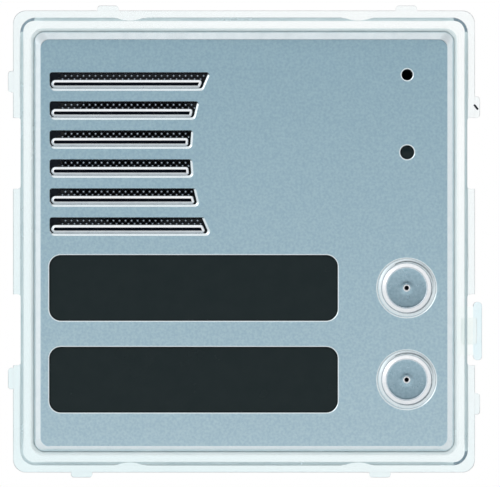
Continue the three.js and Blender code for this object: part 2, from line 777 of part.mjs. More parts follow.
// ---- side catch ----
function buildCatch() {
  const front = FLANGE_Y + 0.25;
  const rear = -0.2;
  const headInner = RECESS.floor + CATCH.travel + GAP;
  const headWidth = CATCH.outer - headInner;
  const headX = (CATCH.outer + headInner) / 2;
  const neckEnd = headInner + 0.5;
  const head = slab(headWidth, CATCH.head, 0.5, front, rear, headX, CATCH.z);
  const neck = box(neckEnd - CATCH.tail, CATCH.neck, front, rear, (neckEnd + CATCH.tail) / 2, CATCH.z);
  add('side_catch', join(head, neck), 'clear_plastic');
  const springLeft = LEDGE_INNER_HALF + 0.85;
  const springLength = CATCH.tail - 0.3 - springLeft;
  const coil = addGeometry('catch_spring',
    wire(new Coil(0.55, springLength, 3, true), 0.15, 30, 2), 'steel');
  coil.position.set(springLeft, (front + rear) / 2, CATCH.z);
}

// ---- assembly ----
add('clear_surround', buildSurround(), 'clear_plastic');
add('front_plate', buildPlate(), 'satin_metal');
add('front_gasket', buildFrontGasket(), 'pale_rubber');
add('speaker_mesh', buildSpeakerMesh(), 'black_mesh');
add('inner_carrier', buildCarrier(), 'black_plastic');
for (const [row, z] of Object.entries(ROWS)) {
  buildNameRow(row, z);
  buildCallButton(row, z);
}
buildSpeaker();
buildMicrophone();
buildStatusLamp();
add('main_board', buildBoard(), 'board');
add('audio_chip', buildAudioChip(), 'component');
add('supply_capacitor', buildCapacitor(-28, 12), 'component');
add('line_transformer', buildTransformer(), 'ferrite');
for (const [name, x] of Object.entries(TRIMMERS)) {
  buildTrimmer(name, x);
}
buildTerminals();
add('link_socket', buildLinkSocket(), 'black_plastic');
add('rear_housing', buildHousing(), 'pale_plastic');
atCorners(SCREW_OFFSET, (x, z, number) => {
  add(`housing_screw_${number}`, buildHousingScrew(x, z), 'steel');
});
buildCatch();

export default group;
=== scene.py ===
"""Looks of the flush door intercom module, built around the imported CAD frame.

Shapes are made in millimetres in the row frame (X right, Y to the rear, Z up) and scaled to
metres when a piece is finished.
"""
import json
import math

import bmesh
import bpy
from mathutils import Matrix, Vector
from mathutils.geometry import delaunay_2d_cdt


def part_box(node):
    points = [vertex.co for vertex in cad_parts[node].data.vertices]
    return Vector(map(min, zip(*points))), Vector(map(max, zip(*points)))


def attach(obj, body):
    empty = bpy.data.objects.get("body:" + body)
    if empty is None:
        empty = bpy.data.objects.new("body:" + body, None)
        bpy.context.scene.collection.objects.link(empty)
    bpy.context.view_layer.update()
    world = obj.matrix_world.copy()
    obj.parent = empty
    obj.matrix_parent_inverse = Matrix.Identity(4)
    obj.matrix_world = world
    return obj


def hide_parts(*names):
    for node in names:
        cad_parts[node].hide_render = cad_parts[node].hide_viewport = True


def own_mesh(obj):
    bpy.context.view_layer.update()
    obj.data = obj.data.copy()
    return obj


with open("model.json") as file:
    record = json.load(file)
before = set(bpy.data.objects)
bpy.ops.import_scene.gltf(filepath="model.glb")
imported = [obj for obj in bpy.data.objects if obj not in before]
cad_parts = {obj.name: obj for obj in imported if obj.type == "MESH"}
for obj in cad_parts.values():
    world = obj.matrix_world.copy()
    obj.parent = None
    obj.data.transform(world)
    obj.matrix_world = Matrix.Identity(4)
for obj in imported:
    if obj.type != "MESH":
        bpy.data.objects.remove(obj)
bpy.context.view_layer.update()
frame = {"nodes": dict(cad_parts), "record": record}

MM = 0.001
TO_METRES = Matrix.Scale(MM, 4)
FRONT = Vector((0, -1, 0))

# Depths along Y, and half widths and corner radii from the front, as in the CAD.
CROWN_Y = -6.5
FACE_Y = -6.1
PLATE_BACK_Y = -4.6
PLATE_RIM_Y = -3.7
LEDGE_Y = -3.1
FLANGE_Y = -2.0
REBATE_Y = -0.2
FLANGE_HALF, FLANGE_CORNER = 45.5, 2.5
RIM_HALF, RIM_CORNER = 43.8, 2.7
REBATE_HALF, REBATE_CORNER = 42.3, 3.2
RIM_INNER_HALF = 41.5
PLATE_HALF, PLATE_CORNER = 41.2, 2.1
POCKET_HALF, POCKET_CORNER = 39.7, 1.2
LEDGE_INNER_HALF, LEDGE_CORNER = 38.4, 1.0
CORNER_STEPS = 12

# Lugs of the flange: X and side for those above and below, side and Z for those beside.
LUGS_ABOVE_BELOW = ((-26.8, 1), (32, 1), (-32, -1), (26.8, -1))
LUGS_BESIDE = ((-1, 31.5), (-1, -27), (1, 26.5), (1, -32))

# Louvres, and the circle that their right ends follow.
LOUVRE_TOPS = [33.1 - 5.69 * i for i in range(6)]
LOUVRE_LEFT = -38.0
LOUVRE_OPEN = 1.4
LOUVRE_DEEP = 3.04
ARC_X = 25.1
ARC_Z = 17.4
ARC_RADIUS = 35.7

# The plate's bevel, as inset and depth from its flat outwards. The flat lies low in the bevel
# by SHOULDER_DROP for each millimetre of inset.
SHOULDER = ((4.4, 0.0), (1.42, 0.0), (1.32, 0.015), (1.24, 0.04), (0.14, 0.49),
            (0.05, 0.54), (0.01, 0.60), (0.0, 0.68))
BEVEL_WIDTH = 1.4
FLAT_CORNER = 1.4
SHOULDER_DROP = 0.22

# Openings in the plate. Their rolled edge is given as shares of its width, out and deep.
ROLLED_EDGE = ((1.0, -0.04), (0.88, 0.03), (0.78, 0.10), (0.06, 0.55), (0.0, 0.66))
WINDOW_HALF_W = 28.3
WINDOW_HALF_H = 6.45
WINDOW_CORNER = 2.3
DISH_RADIUS = 5.75
SENSOR_RADIUS = 1.275

ROWS = ("upper", "lower")
TRIMMERS = ("volume", "microphone")
FOUR = range(1, 5)
PAST = 1      # how far a cutter reaches past what it cuts

# Light levels: at the left and right, below and above, in front from below and from above,
# and from behind.
SIDE_LIGHT = (0.96, 0.86)
HEIGHT_LIGHT = (0.98, 1.06)
FRONT_LOW = (1.34, 1.35, 1.34, 1)
FRONT_HIGH = (0.0, 0.02, 0.04, 1)
BACK_LIGHT = (1.12, 1.12, 1.12, 1)
WHITE = (1, 1, 1, 1)


def box_mm(node):
    """Lowest and highest corner of a CAD node, in millimetres."""
    low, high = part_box(node)
    return low / MM, high / MM


def middle(node):
    """Middle of a CAD node's box, in millimetres."""
    low, high = box_mm(node)
    return (low + high) / 2


# ---- meshes
def mesh_object(vertices, faces):
    """An object that a piece later names, with its faces turned outwards."""
    mesh = bpy.data.meshes.new("shape")
    mesh.from_pydata([tuple(v) for v in vertices], [], faces)
    bm = bmesh.new()
    bm.from_mesh(mesh)
    bmesh.ops.recalc_face_normals(bm, faces=bm.faces)
    bm.to_mesh(mesh)
    bm.free()
    return linked(mesh)


def linked(data, name="shape"):
    obj = bpy.data.objects.new(name, data)
    bpy.context.scene.collection.objects.link(obj)
    return obj


def round_steps(sides):
    """Angles of the corners of a polygon that stands for a circle."""
    return [2 * math.pi * k / sides for k in range(sides)]


def on_circle(x, y, z, radius, angle):
    """A point of a circle about an axis along Y."""
    return Vector((x + radius * math.cos(angle), y, z + radius * math.sin(angle)))


def quarter_round(radius, steps):
    """Points of a quarter of a circle, as distances from its two tangents."""
    turns = [math.radians(90 * k / steps) for k in range(steps + 1)]
    return [(radius * (1 - math.cos(a)), radius * (1 - math.sin(a))) for a in turns]


def loft(rings, closed=False):
    """A skin through loops of equally many points: capped at both ends, or closed on itself."""
    count = len(rings[0])
    vertices = [p for ring in rings for p in ring]
    faces = []
    spans = len(rings) if closed else len(rings) - 1
    for r in range(spans):
        a = r * count
        b = (r + 1) % len(rings) * count
        for k in range(count):
            n = (k + 1) % count
            faces.append((a + k, a + n, b + n, b + k))
    if not closed:
        faces.append(tuple(range(count))[::-1])
        last = (len(rings) - 1) * count
        faces.append(tuple(range(last, last + count)))
    return mesh_object(vertices, faces)


def rounded(half_w, half_h, radius, y, x=0.0, z=0.0, steps=10):
    """A loop of points round a rectangle with rounded corners, seen from the front."""
    loop = []
    for sx, sz, start in ((1, 1, 0), (-1, 1, 90), (-1, -1, 180), (1, -1, 270)):
        for k in range(steps + 1):
            loop.append(on_circle(x + sx * (half_w - radius), y, z + sz * (half_h - radius),
                                  radius, math.radians(start + 90 * k / steps)))
    return loop


def square_loop(half, radius, y, steps=10):
    return rounded(half, half, radius, y, steps=steps)


def offset_polygon(points, offsets):
    """Moves side i, from point i to the next one, outwards by offsets[i]. The points run
    anticlockwise."""
    sides = []
    for i, p in enumerate(points):
        q = points[(i + 1) % len(points)]
        dx, dz = q[0] - p[0], q[1] - p[1]
        length = math.hypot(dx, dz)
        nx, nz = dz / length, -dx / length
        sides.append((p[0] + nx * offsets[i], p[1] + nz * offsets[i], dx, dz))
    moved = []
    for i in range(len(points)):
        ax, az, adx, adz = sides[i - 1]
        bx, bz, bdx, bdz = sides[i]
        t = ((bx - ax) * bdz - (bz - az) * bdx) / (adx * bdz - adz * bdx)
        moved.append((ax + adx * t, az + adz * t))
    return moved


def round_polygon(points, radii, y, steps=6):
    """A loop of points round an anticlockwise polygon with its corners rounded."""
    loop = []
    count = len(points)
    for i, p in enumerate(points):
        corner = Vector(p)
        to_last = (Vector(points[i - 1]) - corner).normalized()
        to_next = (Vector(points[(i + 1) % count]) - corner).normalized()
        half = to_last.angle(to_next) / 2
        radius = max(radii[i], 0.01)
        centre = corner + (to_last + to_next).normalized() * (radius / math.sin(half))
        start = corner + to_last * (radius / math.tan(half)) - centre
        end = corner + to_next * (radius / math.tan(half)) - centre
        first = math.atan2(start.y, start.x)
        sweep = math.atan2(end.y, end.x) - first
        while sweep < 0:
            sweep += 2 * math.pi
        for k in range(steps + 1):
            loop.append(on_circle(centre.x, y, centre.y, radius, first + sweep * k / steps))
    return loop


def turned(profile, x, z, sides):
    """A piece turned about Y from points of radius and y. Radius 0 at both ends caps it."""
    rings = []
    vertices = []
    for radius, y in profile:
        if radius == 0:
            rings.append([len(vertices)])
            vertices.append(Vector((x, y, z)))
            continue
        rings.append(list(range(len(vertices), len(vertices) + sides)))
        vertices += [on_circle(x, y, z, radius, a) for a in round_steps(sides)]
    faces = []
    closed = len(rings[0]) > 1
    for r in range(len(rings) if closed else len(rings) - 1):
        a, b = rings[r], rings[(r + 1) % len(rings)]
        for k in range(sides):
            n = (k + 1) % sides
            if len(a) == 1:
                faces.append((a[0], b[n], b[k]))
            elif len(b) == 1:
                faces.append((a[k], a[n], b[0]))
            else:
                faces.append((a[k], a[n], b[n], b[k]))
    return mesh_object(vertices, faces)


def rod(radius, front, rear, x, z, sides):
    return turned([(0, front), (radius, front), (radius, rear), (0, rear)], x, z, sides)


def block(low, high):
    x0, y0, z0 = low
    x1, y1, z1 = high
    return loft([[Vector((x0, y, z0)), Vector((x1, y, z0)), Vector((x1, y, z1)),
                  Vector((x0, y, z1))] for y in (y0, y1)])


def slab(half_w, half_h, radius, front, rear, x=0.0, z=0.0, steps=8):
    """A plate with rounded corners, square to Y."""
    return loft([rounded(half_w, half_h, radius, y, x, z, steps) for y in (front, rear)])


def node_slab(node, radius):
    """A slab that fills the box of a CAD node."""
    low, high = box_mm(node)
    centre = middle(node)
    return slab((high.x - low.x) / 2, (high.z - low.z) / 2, radius, low.y, high.y,
                centre.x, centre.z, 4)


def place_turned(obj, x, z, angle):
    """Turns a shape made at the origin about Y, and moves it to x and z."""
    for vertex in obj.data.vertices:
        px, pz = vertex.co.x, vertex.co.z
        vertex.co.x = x + px * math.cos(angle) - pz * math.sin(angle)
        vertex.co.z = z + px * math.sin(angle) + pz * math.cos(angle)
    return obj


def tube(points, radius, sides=10):
    """A round wire through the points, with its frame carried along without twist."""
    rings = []
    side = (points[1] - points[0]).normalized().orthogonal().normalized()
    for i, p in enumerate(points):
        tangent = (points[min(i + 1, len(points) - 1)] - points[max(i - 1, 0)]).normalized()
        side = (side - tangent * side.dot(tangent)).normalized()
        other = tangent.cross(side)
        rings.append([p + side * (radius * math.cos(a)) + other * (radius * math.sin(a))
                      for a in round_steps(sides)])
    return loft(rings)


def discard(obj):
    mesh = obj.data
    bpy.data.objects.remove(obj)
    bpy.data.meshes.remove(mesh)


def evaluated(obj):
    """Replaces the object's mesh by what its modifiers make of it."""
    depsgraph = bpy.context.evaluated_depsgraph_get()
    mesh = bpy.data.meshes.new_from_object(obj.evaluated_get(depsgraph))
    obj.modifiers.clear()
    old = obj.data
    obj.data = mesh
    bpy.data.meshes.remove(old)


def modify(obj, kind, **settings):
    modifier = obj.modifiers.new(kind, kind)
    for key, value in settings.items():
        setattr(modifier, key, value)
    evaluated(obj)


def combine(obj, others, operation):
    """Joins the other solids to the object or cuts them from it, and removes them."""
    for other in others:
        modifier = obj.modifiers.new("combine", "BOOLEAN")
        modifier.operation = operation
        modifier.solver = "MANIFOLD"
        modifier.object = other
        evaluated(obj)
        discard(other)


def cut(obj, *others):
    combine(obj, others, "DIFFERENCE")


def fuse(obj, *others):
    combine(obj, others, "UNION")


def gather(objects):
    """One mesh from several, which stay separate shells."""
    bm = bmesh.new()
    for obj in objects:
        bm.from_mesh(obj.data)
        discard(obj)
    mesh = bpy.data.meshes.new("shape")
    bm.to_mesh(mesh)
    bm.free()
    return linked(mesh)


def soften(obj, width, segments=2):
    """Rounds the edges that turn by more than 40 degrees."""
    modify(obj, "BEVEL", width=width, segments=segments, limit_method="ANGLE",
           angle_limit=math.radians(40), use_clamp_overlap=True, miter_outer="MITER_ARC")


def piece(obj, name, finishes, nodes, body="module", smooth=35, weighted=True,
          choose=None):
    """Names, shades, paints and scales a finished mesh and hangs it on its body. Where there
    is more than one finish, choose picks the one for a polygon."""
    obj.name = name
    obj.data.name = name
    obj.data.materials.clear()
    for finish in finishes:
        obj.data.materials.append(finish)
    for polygon in obj.data.polygons:
        polygon.use_smooth = True
        polygon.material_index = finishes.index(choose(polygon)) if choose else 0
    obj.data.set_sharp_from_angle(angle=math.radians(smooth))
    if weighted:
        modify(obj, "WEIGHTED_NORMAL", weight=50, keep_sharp=True)
        obj.data.name = name
    obj.data.transform(TO_METRES)
    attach(obj, body)
    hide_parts(*nodes)


# ---- materials
def add_node(tree, kind, **values):
    """A shader node with values for its inputs, whose names have _ for each space."""
    node = tree.nodes.new("ShaderNode" + kind)
    for name, value in values.items():
        node.inputs[name.replace("_", " ")].default_value = value
    return node


def blend(tree, kind, first, second, factor):
    """A mix of two colours, each of them a plain value or the output of another node."""
    node = add_node(tree, "Mix")
    node.data_type = "RGBA"
    node.blend_type = kind
    for name, value in (("Factor", factor), ("A", first), ("B", second)):
        if isinstance(value, bpy.types.NodeSocket):
            tree.links.new(value, node.inputs[name])
        else:
            node.inputs[name].default_value = value
    return node.outputs["Result"]


def surface(name, dark, light, roughness, grain, fine, bump, spread=0.04, metallic=0.0,
            shade_gradient=None, **sockets):
    """A finish with mottled colour, uneven gloss and a fine bump, all in object space.

    grain and fine are sizes in millimetres; bump is the height of the fine relief; the last named
    argument is a painted shade: a tint, and the direction across the plate in which it grows."""
    finish = bpy.data.materials.new(name)
    finish.use_nodes = True
    tree = finish.node_tree
    link = tree.links.new
    shader = tree.nodes["Principled BSDF"]
    shader.inputs["Metallic"].default_value = metallic
    for key, value in sockets.items():
        shader.inputs[key.replace("_", " ")].default_value = value
    place = add_node(tree, "TexCoord").outputs["Object"]

    def noise(size, detail):
        node = add_node(tree, "TexNoise", Scale=1 / (size * MM), Detail=detail)
        link(place, node.inputs["Vector"])
        return node.outputs["Fac"]

    ramp = add_node(tree, "ValToRGB")
    for element, position, tone in zip(ramp.color_ramp.elements, (0.35, 0.65), (dark, light)):
        element.position = position
        element.color = (*tone, 1)
    link(noise(grain, 3), ramp.inputs["Fac"])
    colour = ramp.outputs["Color"]
    if shade_gradient:
        tone, heading = shade_gradient
        along = add_node(tree, "VectorMath")
        along.operation = "DOT_PRODUCT"
        along.inputs[1].default_value = heading
        link(place, along.inputs[0])
        climb = add_node(tree, "MapRange", From_Min=-PLATE_HALF * MM, From_Max=PLATE_HALF * MM)
        link(along.outputs["Value"], climb.inputs["Value"])
        colour = blend(tree, "MULTIPLY", colour, (*tone, 1), climb.outputs["Result"])
    link(colour, shader.inputs["Base Color"])
    gloss = add_node(tree, "MapRange", From_Min=0.3, From_Max=0.7,
                     To_Min=max(roughness - spread, 0.0), To_Max=roughness + spread)
    link(noise(grain * 2.3, 4), gloss.inputs["Value"])
    link(gloss.outputs["Result"], shader.inputs["Roughness"])
    relief = add_node(tree, "Bump", Distance=bump * MM)
    link(noise(fine, 4), relief.inputs["Height"])
    link(relief.outputs["Normal"], shader.inputs["Normal"])
    return finish


def clear(name, dark, light, roughness, see_through, grain=4.0, spread=0.04, bump=0.004,
          ior=1.5, shade_gradient=None):
    """A finish of clear plastic, which is painted more densely the less it is see-through."""
    return surface(name, dark, light, roughness, grain, spread=spread, fine=3.0, bump=bump,
                   shade_gradient=shade_gradient, Transmission_Weight=see_through, IOR=ior)


# Painted shade: the satin plate is darker towards its top and lighter towards its bottom.
SATIN = surface("satin_plate", (0.50, 0.69, 0.80), (0.61, 0.79, 0.87), 0.33, 0.5, spread=0.03,
                fine=0.2, bump=0.02, metallic=1.0, shade_gradient=((0.85, 0.93, 0.96), (0, 0, 1)))
POLISHED = surface("polished_edge", (0.78, 0.87, 0.91), (0.82, 0.90, 0.935), 0.22, 1.5,
                   fine=0.2, bump=0.002, metallic=1.0)
# Painted highlight: a lighter copy of the edge metal.
HIGHLIGHT_METAL = surface("painted_highlight_metal", (0.91, 0.94, 0.97), (0.95, 0.97, 1.0), 0.22, 1.5,
                 fine=0.2, bump=0.002, metallic=1.0)
# Painted shade: a darker copy of the edge metal for faces that look down.
SHADE_METAL = surface("painted_shade_metal", (0.66, 0.70, 0.74), (0.72, 0.76, 0.79), 0.3, 1.2,
               fine=0.2, bump=0.004, metallic=1.0)
BUTTON_FACE = surface("button_face", (0.35, 0.51, 0.60), (0.44, 0.60, 0.69), 0.3, 0.5,
                      fine=0.2, bump=0.015, metallic=1.0)
GROOVE = surface("groove_shadow", (0.007, 0.013, 0.027), (0.011, 0.018, 0.036), 0.7, 0.8,
                 fine=0.2, bump=0.01, Specular_IOR_Level=0.2)
MESH = surface("mesh_paint", (0.004, 0.007, 0.014), (0.007, 0.011, 0.020), 0.5, 0.6,
               fine=0.12, bump=0.01, Specular_IOR_Level=0.2)
# Painted glint: the knuckles of the mesh are painted as lighter metal than the black sheet.
KNUCKLE_GLINT = surface("mesh_knuckle", (0.40, 0.46, 0.52), (0.52, 0.58, 0.64), 0.35, 0.6,
                  fine=0.12, bump=0.01, metallic=1.0)
# Painted shade: the clear moulding is tinted darker towards its lower left.
CLEAR = clear("clear_moulding", (0.955, 0.988, 0.992), (0.97, 0.997, 1.0), 0.03, 0.9, grain=6.0,
              spread=0.015, shade_gradient=((0.85, 0.935, 0.95), (-0.6, 0, -0.8)))
# Painted shade: a darker copy of the clear plastic for the steep faces of the rim's outer edge.
EDGE_SHADE = clear("clear_edge_painted_shade", (0.57, 0.74, 0.79), (0.67, 0.84, 0.88), 0.25, 0.35)
# Painted light: a pale, nearly opaque copy for the steep faces of the rim's inner edge.
INNER = clear("clear_inner_edge_painted_light", (0.84, 0.95, 0.96), (0.89, 0.98, 0.99), 0.25, 0.1)
PURE = clear("clear_thin", (0.985, 1.0, 1.0), (0.99, 1.0, 1.0), 0.02, 1.0, spread=0.01,
             bump=0.002, ior=1.35)
# Painted shade: a dark copy for the steep faces at the rim's corners.
CORNER_SHADE = clear("clear_corner_painted_shade", (0.13, 0.22, 0.28), (0.24, 0.36, 0.44), 0.25, 0.35, grain=1.5)
# Painted shade: a darker copy for the outline of the flange and of the catch.
OUTLINE = clear("clear_outline_painted_shade", (0.60, 0.57, 0.59), (0.70, 0.67, 0.69), 0.3, 0.2)
TAB = clear("clear_tab", (0.78, 0.93, 0.97), (0.86, 0.96, 0.99), 0.03, 0.9, grain=3.0,
            spread=0.015)
NECK = clear("clear_neck", (0.90, 0.98, 0.96), (0.94, 0.99, 0.97), 0.03, 0.9, grain=3.0,
             spread=0.015)
SMOKED = surface("smoked_lens", (0.010, 0.0195, 0.0215), (0.012, 0.0215, 0.0235), 0.25, 3.0,
                 spread=0.03, fine=1.0, bump=0.002, IOR=1.4, Specular_IOR_Level=0.25)
FELT = surface("black_felt", (0.006, 0.007, 0.008), (0.012, 0.013, 0.015), 0.9, 0.3,
               fine=0.1, bump=0.02, Specular_IOR_Level=0.1)
PALE = surface("pale_moulding", (0.59, 0.62, 0.62), (0.63, 0.655, 0.655), 0.45, 1.2,
               fine=0.25, bump=0.02)
BLACK = surface("black_moulding", (0.012, 0.014, 0.016), (0.020, 0.022, 0.025), 0.5, 1.0,
                fine=0.25, bump=0.02)
RUBBER = surface("rubber", (0.008, 0.008, 0.009), (0.014, 0.014, 0.015), 0.8, 0.8,
                 fine=0.2, bump=0.03)
PALE_RUBBER = surface("pale_rubber", (0.62, 0.68, 0.68), (0.70, 0.75, 0.75), 0.7, 0.8,
                      fine=0.2, bump=0.02)
CARD = surface("blank_card", (0.013, 0.015, 0.017), (0.018, 0.020, 0.022), 0.85, 0.5,
               fine=0.15, bump=0.02)
OPAL = surface("opal_acrylic", (0.80, 0.83, 0.81), (0.88, 0.90, 0.88), 0.35, 2.0,
               fine=0.5, bump=0.004, Subsurface_Weight=0.2)
BOARD = surface("solder_mask", (0.010, 0.085, 0.040), (0.016, 0.125, 0.060), 0.35, 1.1,
                fine=0.3, bump=0.01, Coat_Weight=0.3)
COMPONENT = surface("component_body", (0.010, 0.010, 0.011), (0.018, 0.018, 0.019), 0.45, 0.6,
                    fine=0.15, bump=0.012)
STEEL = surface("zinc_steel", (0.46, 0.48, 0.49), (0.60, 0.61, 0.60), 0.3, 0.6,
                fine=0.15, bump=0.006, metallic=1.0)
FERRITE = surface("ferrite", (0.030, 0.030, 0.032), (0.050, 0.050, 0.052), 0.6, 0.5,
                  fine=0.12, bump=0.03, metallic=0.2)
PAPER = surface("pressed_fibre", (0.018, 0.017, 0.017), (0.030, 0.028, 0.027), 0.85, 0.7,
                fine=0.2, bump=0.05)
TERMINAL_GREEN = surface("terminal_green", (0.020, 0.20, 0.055), (0.032, 0.27, 0.075), 0.42,
                         0.9, fine=0.25, bump=0.015)
TRIMMER_BLUE = surface("trimmer_blue", (0.018, 0.060, 0.30), (0.030, 0.085, 0.40), 0.4, 0.8,
                       fine=0.2, bump=0.01)
RED_WIRE = surface("red_wire", (0.35, 0.015, 0.010), (0.45, 0.022, 0.015), 0.4, 0.7,
                   fine=0.2, bump=0.01)
LED = surface("led_lens", (0.80, 0.80, 0.68), (0.88, 0.88, 0.78), 0.25, 0.8,
              fine=0.3, bump=0.004)
BRASS = surface("contact_brass", (0.60, 0.40, 0.13), (0.72, 0.50, 0.20), 0.25, 0.5,
                fine=0.15, bump=0.004, metallic=1.0)

SLOT_FINISH = {
    "clear_plastic": CLEAR,
    "satin_metal": SATIN,
    "button_metal": BUTTON_FACE,
    "smoked_plastic": SMOKED,
    "card": CARD,
    "opal_plastic": OPAL,
    "black_mesh": MESH,
    "black_plastic": BLACK,
    "pale_plastic": PALE,
    "rubber": RUBBER,
    "pale_rubber": PALE_RUBBER,
    "board": BOARD,
    "component": COMPONENT,
    "steel": STEEL,
    "ferrite": FERRITE,
    "paper_cone": PAPER,
    "terminal_green": TERMINAL_GREEN,
    "trimmer_blue": TRIMMER_BLUE,
    "red_wire": RED_WIRE,
    "led": LED,
}


# ---- clear surround
def lug_slit(gap, front, rear):
    """A thin slanting bar in the upper right lug, or the slot round it."""
    half_w, half_h, corner = 0.17, 0.62, 0.1
    x, z, slant = 45.75, 26.5, math.radians(38)
    bar = slab(half_w + gap, half_h + gap, corner, front, rear, steps=3)
    return place_turned(bar, x, z, slant)


def surround_section():
    """Half width, corner radius and depth of each point of the surround's section."""
    bore = PLATE_HALF + 0.04
    chamfer_out, chamfer_front, chamfer_rear = 0.22, 0.28, 0.62
    inner_round, outer_round, root = 0.42, 0.75, 0.5
    section = [
        (LEDGE_INNER_HALF, LEDGE_CORNER, REBATE_Y),
        (LEDGE_INNER_HALF, LEDGE_CORNER, LEDGE_Y),
        (bore, PLATE_CORNER, LEDGE_Y),
        (bore, PLATE_CORNER, FACE_Y + chamfer_rear),
        (PLATE_HALF + chamfer_out, PLATE_CORNER, FACE_Y + chamfer_front),
    ]
    for out, deep in quarter_round(inner_round, 5):
        half = RIM_INNER_HALF + out
        section.append((half, PLATE_CORNER + half - RIM_INNER_HALF, CROWN_Y + deep))
    for deep, short in quarter_round(outer_round, 6):
        half = RIM_HALF - short
        section.append((half, RIM_CORNER - (RIM_HALF - half), CROWN_Y + deep))
    for out, short in quarter_round(root, 4):
        half = RIM_HALF + out
        section.append((half, RIM_CORNER + half - RIM_HALF, FLANGE_Y - short))
    return section + [
        (FLANGE_HALF, FLANGE_CORNER, FLANGE_Y),
        (FLANGE_HALF, FLANGE_CORNER, 0.0),
        (REBATE_HALF, REBATE_CORNER, 0.0),
        (REBATE_HALF, REBATE_CORNER, REBATE_Y),
    ]


def surround_lugs():
    along, across, corner, step_down, sunk = 2.1, 2.0, 0.6, 0.2, 1.0
    reach = FLANGE_HALF - sunk
    places = [(x, side * reach, along, across) for x, side in LUGS_ABOVE_BELOW]
    places += [(side * reach, z, across, along) for side, z in LUGS_BESIDE]
    return [slab(half_w, half_h, corner, FLANGE_Y + step_down, REBATE_Y, x, z)
            for x, z, half_w, half_h in places]


def build_surround():
    body = loft([square_loop(half, corner, y, CORNER_STEPS)
                 for half, corner, y in surround_section()], closed=True)
    fuse(body, *surround_lugs())
    cutters = []
    recess_half_w, recess_half_h, recess_corner, recess_z = 1.6, 7.0, 0.8, 17.4
    for sx, sz in ((-1, -1), (-1, 1), (1, -1), (1, 1)):
        cutters.append(slab(recess_half_w, recess_half_h, recess_corner, FLANGE_Y - 0.1, PAST,
                            sx * FLANGE_HALF, sz * recess_z))
    notch_x, notch_radius, notch_out = 22.4, 6.5, 6.0
    for x in (-notch_x, notch_x):
        for side in (-1, 1):
            cutters.append(rod(notch_radius, CROWN_Y - PAST, FLANGE_Y - 0.01, x,
                               side * (RIM_HALF + notch_out), 64))
    low, high = box_mm("side_catch")
    centre = (low.z + high.z) / 2
    channel_x, channel_half = 38.9, 4.85
    cutters.append(block((channel_x, FLANGE_Y + 0.1, centre - channel_half),
                         (RIM_HALF + 2, PAST, centre + channel_half)))
    cutters.append(lug_slit(0.02, FLANGE_Y - PAST, PAST))
    cut(body, *cutters)
    soften(body, 0.15, segments=3)

    def choose(polygon):
        """Steep faces are painted with the dark and pale lines that the edges of clear plastic
        show: painted shade on the outline, the rim's outer edge and its corners, painted light on
        its inner edge.
        """
        where, facing = polygon.center, abs(polygon.normal.y)
        reach = max(abs(where.x), abs(where.z))
        steep = facing < 0.95
        if where.y > FLANGE_Y - 0.02:
            if facing < 0.97 and reach > RIM_HALF + 0.8:
                return OUTLINE
            at_channel = where.x > LEDGE_INNER_HALF and abs(where.z - centre) < 5
            return PURE if at_channel else CLEAR
        if reach < (RIM_INNER_HALF + RIM_HALF) / 2:
            return INNER if steep else CLEAR
        left_low = where.x < 0 and where.z < 0
        if min(abs(where.x), abs(where.z)) > RIM_INNER_HALF - 0.3 and not left_low:
            return CORNER_SHADE if facing < 0.985 else CLEAR
        return EDGE_SHADE if steep else CLEAR

    piece(body, "clear_surround_moulding",
          [CLEAR, EDGE_SHADE, CORNER_SHADE, OUTLINE, INNER, PURE], ["clear_surround"], choose=choose)


def build_lug_slit():
    bar = lug_slit(0, FLANGE_Y + 0.25, REBATE_Y - 0.2)
    piece(bar, "lug_slit_bar", [GROOVE], ["clear_surround"])


# ---- front plate and louvres
def arc_end(z):
    """Where the louvres end on the right at this height."""
    return ARC_X - math.sqrt(ARC_RADIUS ** 2 - (z - ARC_Z) ** 2)


def louvre_outline(top, bottom):
    """Corners of a louvre, anticlockwise from its lower left one."""
    return [(LOUVRE_LEFT, bottom), (arc_end(bottom), bottom), (arc_end(top), top),
            (LOUVRE_LEFT, top)]


def rolled_edge(width):
    """Outward offsets and depths of the rolled edge of an opening in the plate, from clear of
    the face to the wall of the opening."""
    return [(width, FACE_Y - PAST)] + [(width * out, FACE_Y + width * deep)
                                       for out, deep in ROLLED_EDGE]


def louvre_cutter(top):
    inner = louvre_outline(top, top - LOUVRE_DEEP)
    flare = 0.56
    shares = (1.0, 0.85, 0.18, 0.22)      # below, right, above, left
    radii = (0.7, 0.5, 0.25, 0.15)
    rings = []
    for out, y in rolled_edge(flare):
        grown = offset_polygon(inner, [out * share for share in shares])
        rings.append(round_polygon(grown, [radius + 0.7 * out for radius in radii], y))
    rings.append(round_polygon(inner, radii, PLATE_BACK_Y + PAST))
    return loft(rings)


def round_cutter(node, radius, lip, sides):
    """The cutter for a round opening in the plate at a CAD node."""
    centre = middle(node)
    rear = PLATE_BACK_Y + PAST
    edge = [(radius + out, y) for out, y in rolled_edge(lip)]
    return turned([(0, FACE_Y - PAST)] + edge + [(radius, rear), (0, rear)],
                  centre.x, centre.z, sides)


def window_cutter(row):
    centre = middle(f"{row}_name_window")
    edge = rolled_edge(0.2) + [(0, PLATE_BACK_Y + PAST)]
    return loft([rounded(WINDOW_HALF_W + out, WINDOW_HALF_H + out, WINDOW_CORNER + out, y,
                         centre.x, centre.z, CORNER_STEPS) for out, y in edge])


